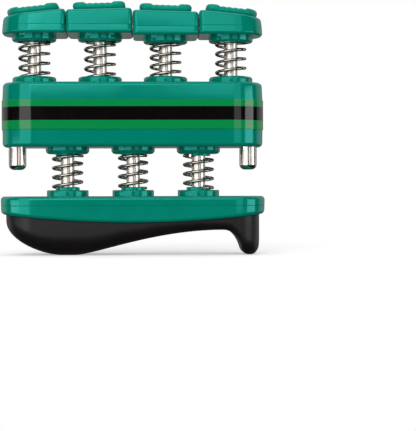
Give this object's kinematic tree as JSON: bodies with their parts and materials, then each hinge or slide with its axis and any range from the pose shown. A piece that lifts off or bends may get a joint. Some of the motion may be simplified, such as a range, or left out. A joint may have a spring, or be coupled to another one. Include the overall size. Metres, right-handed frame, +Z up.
{
  "type": "finger exerciser",
  "caption": "Hand-held finger exerciser: sprung finger buttons with ribbed pads above a two-part case, which slides on sprung rods over a base plate with a soft palm grip.",
  "frame": {"origin": "on the ground under the middle of the part, where the palm grip rests", "axes": "+X along the row of finger buttons, from the grip's bulge to its horn; +Y through the depth, away from the front; +Z up, from the palm grip to the finger buttons"},
  "size_m": [0.0804, 0.0226, 0.0766],
  "materials": {
    "green_plastic": "glossy moulded",
    "green_pad": "satin, ribbed",
    "label_film": "printed film",
    "black_rubber": "matt soft touch",
    "bright_steel": "bright plated",
    "spring_steel": "bright drawn wire"
  },
  "bodies": {
    "base": {"base_plate": "green_plastic", "palm_grip": "black_rubber", "base_rod_1": "bright_steel", "base_rod_2": "bright_steel", "base_rod_3": "bright_steel", "base_clip_1": "spring_steel", "base_clip_2": "spring_steel", "base_clip_3": "spring_steel", "base_spring_1": "spring_steel", "base_spring_2": "spring_steel", "base_spring_3": "spring_steel"},
    "case": {"lower_case": "green_plastic", "upper_case": "green_plastic", "label_band": "label_film", "stop_pin_left": "bright_steel", "stop_pin_right": "bright_steel", "finger_spring_1": "spring_steel", "finger_spring_2": "spring_steel", "finger_spring_3": "spring_steel", "finger_spring_4": "spring_steel"},
    "finger_1": {"finger_button_1": "green_plastic", "finger_pad_1": "green_pad", "finger_rod_1": "bright_steel", "finger_clip_1": "spring_steel"},
    "finger_2": {"finger_button_2": "green_plastic", "finger_pad_2": "green_pad", "finger_rod_2": "bright_steel", "finger_clip_2": "spring_steel"},
    "finger_3": {"finger_button_3": "green_plastic", "finger_pad_3": "green_pad", "finger_rod_3": "bright_steel", "finger_clip_3": "spring_steel"},
    "finger_4": {"finger_button_4": "green_plastic", "finger_pad_4": "green_pad", "finger_rod_4": "bright_steel", "finger_clip_4": "spring_steel"}
  },
  "joints": [
    {"name": "case_press", "type": "slide", "parent": "base", "child": "case", "axis": [0, 0, -1], "range_m": [0, 0.007], "stiffness_N_per_m": 6600, "springref_m": -0.001, "deforming": ["base_spring_1", "base_spring_2", "base_spring_3"]},
    {"name": "finger_1_press", "type": "slide", "parent": "case", "child": "finger_1", "axis": [0, 0, -1], "range_m": [0, 0.007], "stiffness_N_per_m": 2200, "springref_m": -0.001, "deforming": ["finger_spring_1"]},
    {"name": "finger_2_press", "type": "slide", "parent": "case", "child": "finger_2", "axis": [0, 0, -1], "range_m": [0, 0.007], "stiffness_N_per_m": 2200, "springref_m": -0.001, "deforming": ["finger_spring_2"]},
    {"name": "finger_3_press", "type": "slide", "parent": "case", "child": "finger_3", "axis": [0, 0, -1], "range_m": [0, 0.007], "stiffness_N_per_m": 2200, "springref_m": -0.001, "deforming": ["finger_spring_3"]},
    {"name": "finger_4_press", "type": "slide", "parent": "case", "child": "finger_4", "axis": [0, 0, -1], "range_m": [0, 0.007], "stiffness_N_per_m": 2200, "springref_m": -0.001, "deforming": ["finger_spring_4"]}
  ]
}
